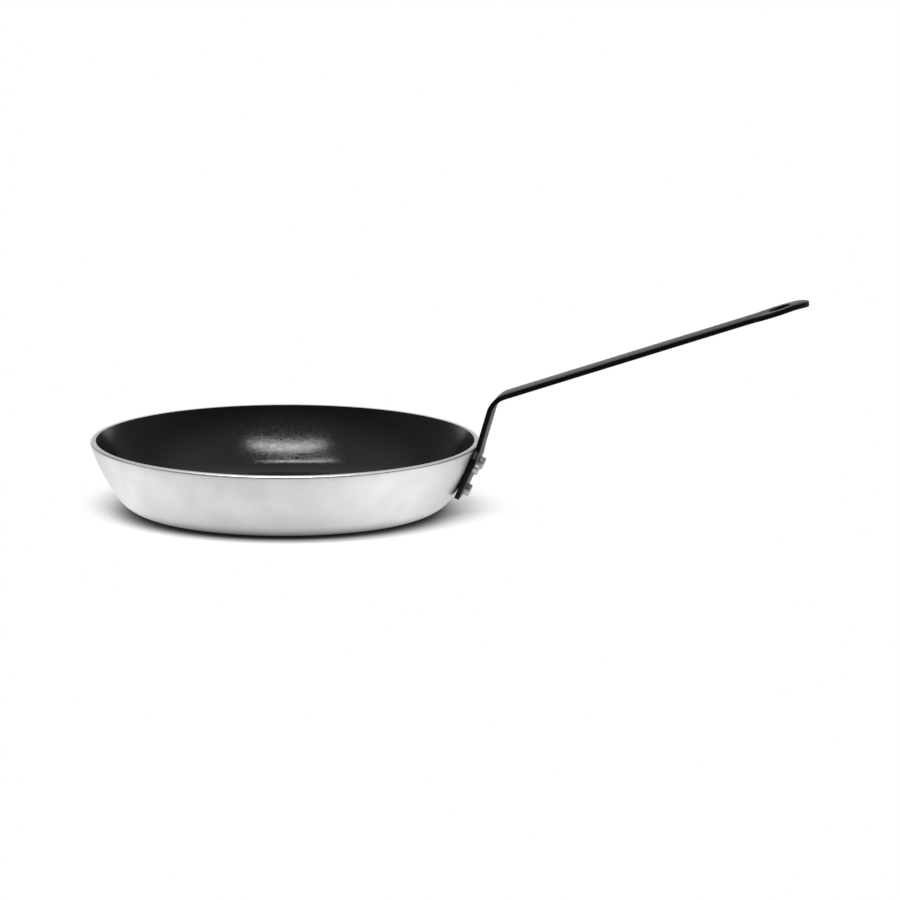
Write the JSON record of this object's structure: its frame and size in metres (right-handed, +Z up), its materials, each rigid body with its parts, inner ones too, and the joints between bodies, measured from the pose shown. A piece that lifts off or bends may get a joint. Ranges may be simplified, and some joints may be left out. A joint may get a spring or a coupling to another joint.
{
  "type": "omelette pan",
  "caption": "Shallow round pan with flared sides, a bright turned rim, a dark non-stick lining and a long riveted strip handle that rises to a paddle-shaped tip with a hanging hole",
  "frame": {"origin": "centre of the flat base, on the surface that the pan stands on", "axes": "+Z up, +X along the handle away from the dish, +Y to the right of a cook who holds the handle and faces the dish"},
  "size_m": [0.5213, 0.28, 0.1631],
  "materials": {
    "pressed_aluminium": "satin brushed outside, bright turned rim",
    "nonstick_coating": "semi-gloss black fluoropolymer coat with a fine sprayed texture",
    "coated_steel": "satin black baked coat on flat strip steel",
    "rivet_aluminium": "satin, as headed"
  },
  "bodies": {
    "root": {"pan_body": "pressed_aluminium", "nonstick_lining": "nonstick_coating", "handle": "coated_steel", "rivet_upper_left": "rivet_aluminium", "rivet_upper_right": "rivet_aluminium", "rivet_lower": "rivet_aluminium"}
  },
  "joints": []
}
